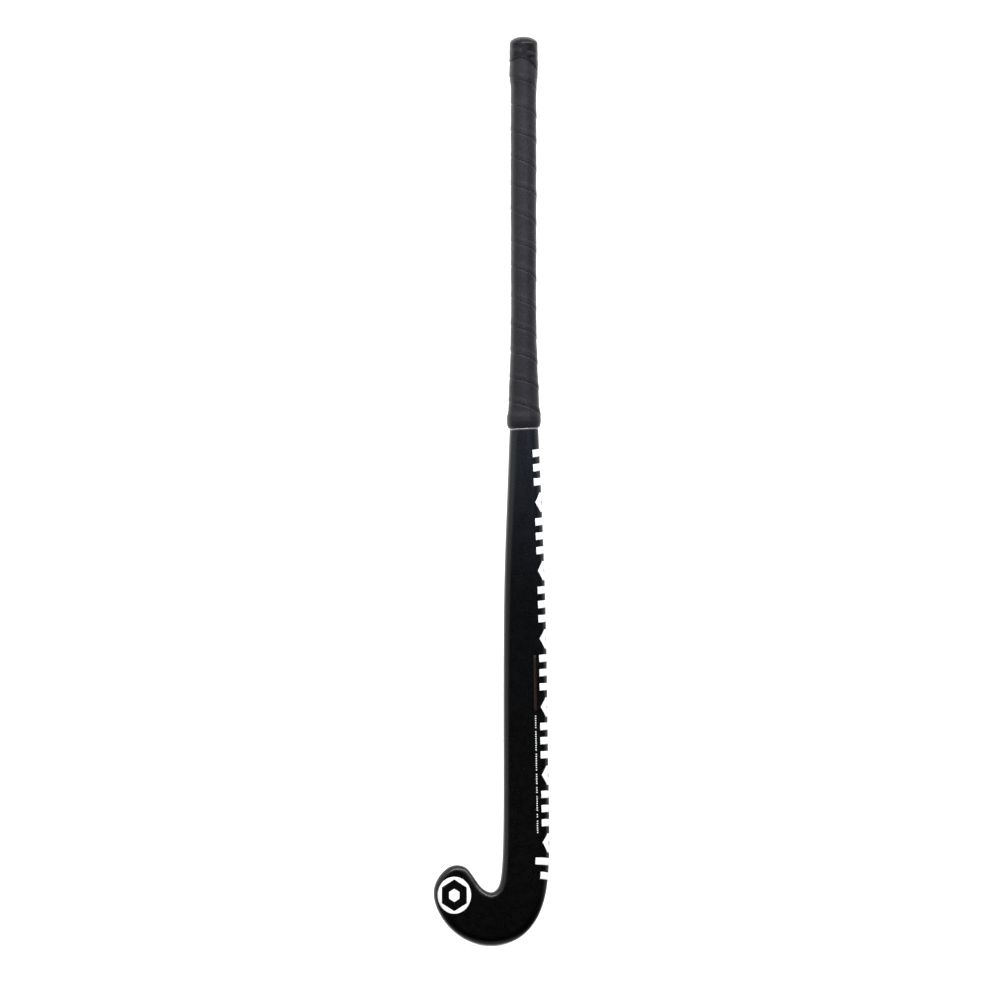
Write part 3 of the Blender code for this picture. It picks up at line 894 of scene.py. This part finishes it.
def end_wrap(finish):
    """Glossy tape over the butt: a leaning lower edge, creases up its side and a pleated dome."""
    angles = np.linspace(0, 2 * math.pi, END_STEPS + 1)[:-1]
    # The edge is lowest at the heel side, and higher in front and behind than at either side.
    edge = END_EDGE - (4.5 * np.cos(angles) + 3.9 * np.cos(2 * angles) + 0.6 * np.sin(2 * angles)) * MM
    ring = np.stack([np.cos(angles), np.sin(angles)], axis=1)

    def creased(height, amount):
        """How far creases lift each point of a ring, at the ring's heights."""
        folds = []
        for angle, level in zip(angles, height):
            place = Vector((math.cos(angle) * 1.6, math.sin(angle) * 1.6, level * 190 + angle * 0.35))
            folds.append(1 - 2 * abs(noise.noise(place)))
        return amount * (np.array(folds) - 0.6)

    handle_half = np.array([HANDLE_HALF_X, HANDLE_HALF_Y])
    rows = []
    for share in np.linspace(0, 1, 30):
        height = edge + share * (DOME_FOOT - edge)
        flare = END_FLARE * (1 - climb(height, 903 * MM, 16 * MM))
        off = DOME_OUT + flare + creased(height, 0.28 * MM)
        rows.append(np.column_stack([ring * (handle_half + off[:, None]), height]))
    for turn in np.linspace(0, math.pi / 2, 26)[1:-1]:
        height = np.full_like(angles, DOME_FOOT + DOME * math.sin(turn))
        pleats = 0.10 * MM * np.sin(angles * 23 + 3 * np.sin(angles * 2)) * math.sin(2 * turn)
        off = DOME_OUT + creased(height + turn * 5 * MM, 0.22 * MM) * math.cos(turn) ** 0.5 + pleats
        size = (handle_half + off[:, None]) * math.cos(turn)
        rows.append(np.column_stack([ring * size, height]))
    top = placed([[0, 0, BUTT_Z]])[0]
    mesh = tidy(grid_mesh("end_wrap", placed(rows), end_point=top))
    piece = make_piece("end_wrap", mesh, finish, ["end_tape"])
    return thicken(piece, END_TAPE)


RING_AT = 529.5 * MM
RING_HALF = 0.8 * MM
RING_THICK = 0.34 * MM
RING_STEPS = 144
RING_WELD = 0.001 * MM


def trim_ring(handle, finish):
    """A thin silver band below the grip, half round in section and not quite level."""
    angles = np.linspace(0, 2 * math.pi, RING_STEPS + 1)[:-1]
    middle = RING_AT + FOOT_TILT * np.cos(angles)
    # The section's points as (up, out), over its round side and back along the handle
    turns = np.linspace(0, math.pi, 9)
    round_side = [(RING_HALF * math.cos(turn), 0.06 * MM + RING_THICK * math.sin(turn)) for turn in turns]
    flat_side = [(-0.75 * MM, 0.03 * MM), (0.75 * MM, 0.03 * MM)]
    rows = [
        handle.point(middle + up, angles, np.full_like(angles, out))
        for up, out in round_side + flat_side + round_side[:1]
    ]
    mesh = tidy(grid_mesh("trim_ring", placed(rows)), weld=RING_WELD)
    return make_piece("trim_ring", mesh, finish, ["trim_band"])


# ---------------------------------------------------------------- the studio
LENS = 600.0
SENSOR = 36.0
VIEW_WIDTH = 1.00296          # metres across the picture, at the stick
EYE_HEIGHT = 0.4622
FLOOR_SIZE = 80.0


def camera():
    """A very long lens, level, in front of the playing face."""
    data = bpy.data.cameras.new("camera")
    data.lens = LENS
    data.sensor_width = SENSOR
    data.clip_end = 100
    eye = bpy.data.objects.new("camera", data)
    eye.location = (0, -VIEW_WIDTH * LENS / SENSOR, EYE_HEIGHT)
    eye.rotation_euler = (math.pi / 2, 0, 0)
    bpy.context.scene.collection.objects.link(eye)
    bpy.context.scene.camera = eye


def area_light(name, place, target, size, radiance, colour=(1, 1, 1), glossy=True):
    """A softbox of this size in metres, as bright as its radiance says. A light that isn't glossy
    has its reflections filtered out, as cross-polarised light does.
    """
    data = bpy.data.lights.new(name, "AREA")
    data.shape = "RECTANGLE"
    data.size, data.size_y = size
    data.energy = radiance * math.pi * size[0] * size[1]
    data.color = colour
    light = bpy.data.objects.new(name, data)
    light.visible_glossy = glossy
    light.visible_camera = False
    light.location = place
    light.rotation_euler = (Vector(target) - Vector(place)).to_track_quat("-Z", "Y").to_euler()
    bpy.context.scene.collection.objects.link(light)


def floor():
    """A wide pale floor that glows a little, less so under the stick."""
    mesh = bpy.data.meshes.new("floor")
    half = FLOOR_SIZE / 2
    corners = [(-half, -half, 0), (half, -half, 0), (half, half, 0), (-half, half, 0)]
    mesh.from_pydata(corners, [], [(0, 1, 2, 3)])
    made = Finish("pale_floor", 0.8)
    made.colour(made.colours(made.noise(3, 3), (0.3, (0.86, 0.86, 0.86)), (0.7, (0.9, 0.9, 0.9))))
    made.shader.inputs["Emission Color"].default_value = (1, 1, 1, 1)
    away = made.nodes.new("ShaderNodeVectorMath")
    away.operation = "LENGTH"
    made.links.new(made.place, away.inputs[0])
    glow = made.spread(away.outputs["Value"], 0.25, 1.2, 0.3, 0.9)
    made.links.new(glow, made.shader.inputs["Emission Strength"])
    mesh.materials.append(made.material)
    obj = bpy.data.objects.new("floor", mesh)
    obj.visible_glossy = False
    obj.visible_diffuse = False
    bpy.context.scene.collection.objects.link(obj)


def world():
    """What the stick mirrors: dark on the camera's side, so that black gloss stays black, white above,
    and brightest behind, where it draws the rims. The camera itself sees plain white.
    """
    made = bpy.data.worlds.new("studio")
    made.use_nodes = True
    nodes, links = made.node_tree.nodes, made.node_tree.links
    background = nodes["Background"]
    background.inputs["Color"].default_value = (1, 1, 1, 1)
    direction = nodes.new("ShaderNodeTexCoord").outputs["Generated"]

    def toward(axis, low, high, to_low, to_high):
        """A smooth step in how far a direction agrees with an axis."""
        dot = nodes.new("ShaderNodeVectorMath")
        dot.operation = "DOT_PRODUCT"
        dot.inputs[1].default_value = Vector(axis).normalized()
        links.new(direction, dot.inputs[0])
        step = nodes.new("ShaderNodeMapRange")
        step.interpolation_type = "SMOOTHSTEP"
        set_range(step, low, high, to_low, to_high)
        links.new(dot.outputs["Value"], step.inputs["Value"])
        return step.outputs["Result"]

    def combined(operation, a, b):
        node = nodes.new("ShaderNodeMath")
        node.operation = operation
        links.new(a, node.inputs[0])
        links.new(b, node.inputs[1])
        return node.outputs["Value"]

    away = toward((0.26, -0.96, -0.2), 0.3, 0.62, 0.7, 0.008)
    above = toward((0, 0, 1), -0.15, 0.1, 0.1, 1.0)
    behind = toward((-0.2, 1, 0), 0.1, 0.6, 0.0, 2.2)
    below = toward((0, 0, -1), 0.6, 0.95, 0.0, 0.35)
    lit = combined("MULTIPLY", away, combined("MAXIMUM", above, behind))
    lit = combined("ADD", lit, below)
    seen = nodes.new("ShaderNodeLightPath").outputs["Is Camera Ray"]
    links.new(combined("MAXIMUM", lit, seen), background.inputs["Strength"])
    bpy.context.scene.world = made


def studio():
    """The camera, the white round it, and four softboxes. The strip draws the highlights on the hook's
    top edges, and the box near the grip the sheen down its middle. The two fills add no reflections.
    """
    camera()
    floor()
    world()
    bpy.context.scene.view_settings.view_transform = "Standard"
    area_light("overhead_strip", (0.5, -0.85, 1.75), (0.1, 0, 0.08), (2.8, 0.25), 9)
    area_light("grip_softbox", (-0.05, -0.5, 0.81), (-0.05, 0, 0.81), (1.06, 0.48), 0.72, (0.88, 0.88, 1))
    area_light("front_fill", (0.8, -3.2, 2.2), (0, 0, 0.45), (2.4, 2.4), 7, glossy=False)
    area_light("low_fill", (0.4, -1.6, 0.15), (0, 0, 0.55), (1.6, 0.2), 6, glossy=False)


# ---------------------------------------------------------------- everything
def main():
    finish_hidden_nodes()
    black = lacquer()
    white = print_ink("print_white", (0.93, 0.94, 0.95), (0.86, 0.87, 0.89))
    faded = print_ink("print_faded", (0.022, 0.010, 0.005), (0.008, 0.005, 0.003))
    shell(black)
    edge_marks(Skin(), white)
    face_prints(white, faded)
    emblem(white, black)
    handle = Handle()
    wound_grip(handle, polyurethane())
    end_wrap(vinyl())
    trim_ring(handle, foil())
    studio()


main()
